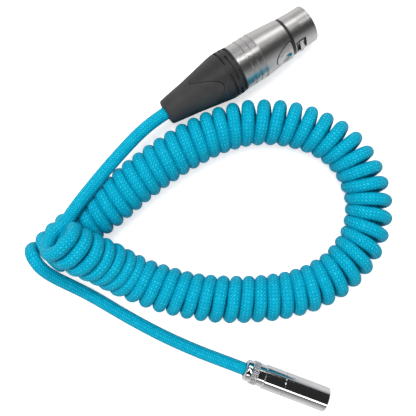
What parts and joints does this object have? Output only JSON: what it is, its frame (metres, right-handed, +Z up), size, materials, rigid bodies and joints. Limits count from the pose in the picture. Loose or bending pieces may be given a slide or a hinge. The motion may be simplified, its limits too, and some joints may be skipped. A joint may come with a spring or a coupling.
{
  "type": "coiled audio cable",
  "caption": "Coiled braided audio cable lying in a loop, with a 3-pole XLR cable socket with thumb latch at one end and a 3-pole mini-XLR plug at the other.",
  "frame": {"origin": "on the table, under the middle of the box round the two connectors", "axes": "+Z up from the table; +Y from the mini-XLR plug's side to the XLR socket's side; +X to the right, towards the open end of the loop"},
  "size_m": [0.1532, 0.169, 0.0407],
  "materials": {
    "blue_braid": "woven braid",
    "soft_black": "matte",
    "hard_black": "moulded, fine grain",
    "ring_black": "moulded",
    "satin_nickel": "satin nickel plate",
    "latch_nickel": "polished nickel plate",
    "chrome": "mirror",
    "steel": "plain",
    "insert_black": "moulded",
    "contact_gold": "gold flash",
    "wire_black": "insulation",
    "wire_red": "insulation",
    "wire_white": "insulation"
  },
  "bodies": {
    "cable": {"xlr_sleeve": "soft_black", "xlr_bushing": "hard_black", "xlr_shell": "satin_nickel", "xlr_coding_ring": "ring_black", "xlr_latch_pin": "steel", "xlr_latch_spring": "steel", "xlr_insert": "insert_black", "xlr_chuck": "hard_black", "xlr_cable_end": "blue_braid", "xlr_contact_1": "contact_gold", "xlr_contact_2": "contact_gold", "xlr_contact_3": "contact_gold", "xlr_wire_1": "wire_black", "xlr_wire_2": "wire_red", "xlr_wire_3": "wire_white", "mini_clamp_nut": "chrome", "mini_rear_sleeve": "chrome", "mini_shell": "chrome", "mini_insert": "insert_black", "mini_collet": "steel", "mini_cable_end": "blue_braid", "mini_pin_1": "contact_gold", "mini_pin_2": "contact_gold", "mini_pin_3": "contact_gold", "mini_wire_1": "wire_black", "mini_wire_2": "wire_red", "mini_wire_3": "wire_white", "cord_tail_xlr": "blue_braid", "cord_coil": "blue_braid", "cord_tail_mini": "blue_braid"},
    "latch": {"xlr_latch": "latch_nickel"}
  },
  "joints": [
    {"name": "latch_press", "type": "hinge", "parent": "cable", "child": "latch", "pos_m": [0.00939, 0.06134, 0.01248], "axis": [-0.2234, 0.4514, 0.8639], "range_deg": [0, 4.5], "stiffness_Nm_per_rad": 0.3, "springref_deg": -3.44}
  ]
}
